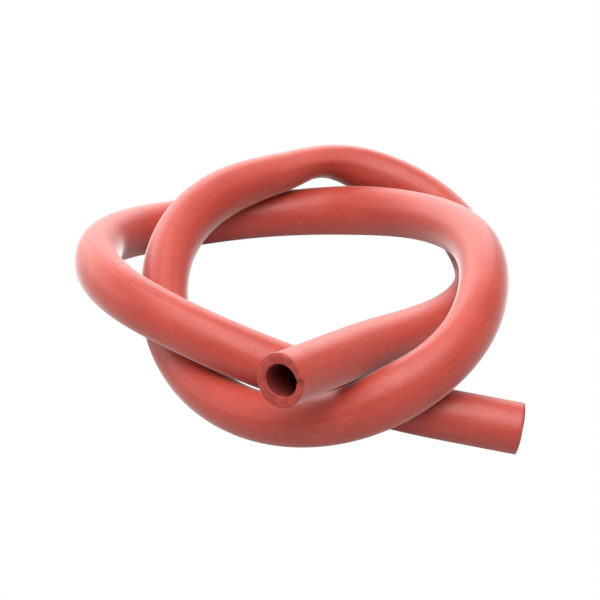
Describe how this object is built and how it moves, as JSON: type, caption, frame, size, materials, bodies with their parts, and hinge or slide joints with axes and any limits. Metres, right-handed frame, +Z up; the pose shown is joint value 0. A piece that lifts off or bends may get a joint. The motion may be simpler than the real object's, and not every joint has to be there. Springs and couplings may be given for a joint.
{
  "type": "length of rubber hose",
  "caption": "Loose length of thick-walled red rubber hose, square-cut at both ends, lying in a loose overhand knot.",
  "frame": {"origin": "on the floor, under the centre of the hose's overall box as it lies", "axes": "+Z up from the floor, +Y from the open front end towards the back of the lay, +X towards the rear end's cut face"},
  "size_m": [0.1436, 0.173, 0.0513],
  "materials": {
    "red_rubber": "satin"
  },
  "bodies": {
    "root": {"front_end": "red_rubber", "hose_run": "red_rubber", "rear_end": "red_rubber"}
  },
  "joints": []
}
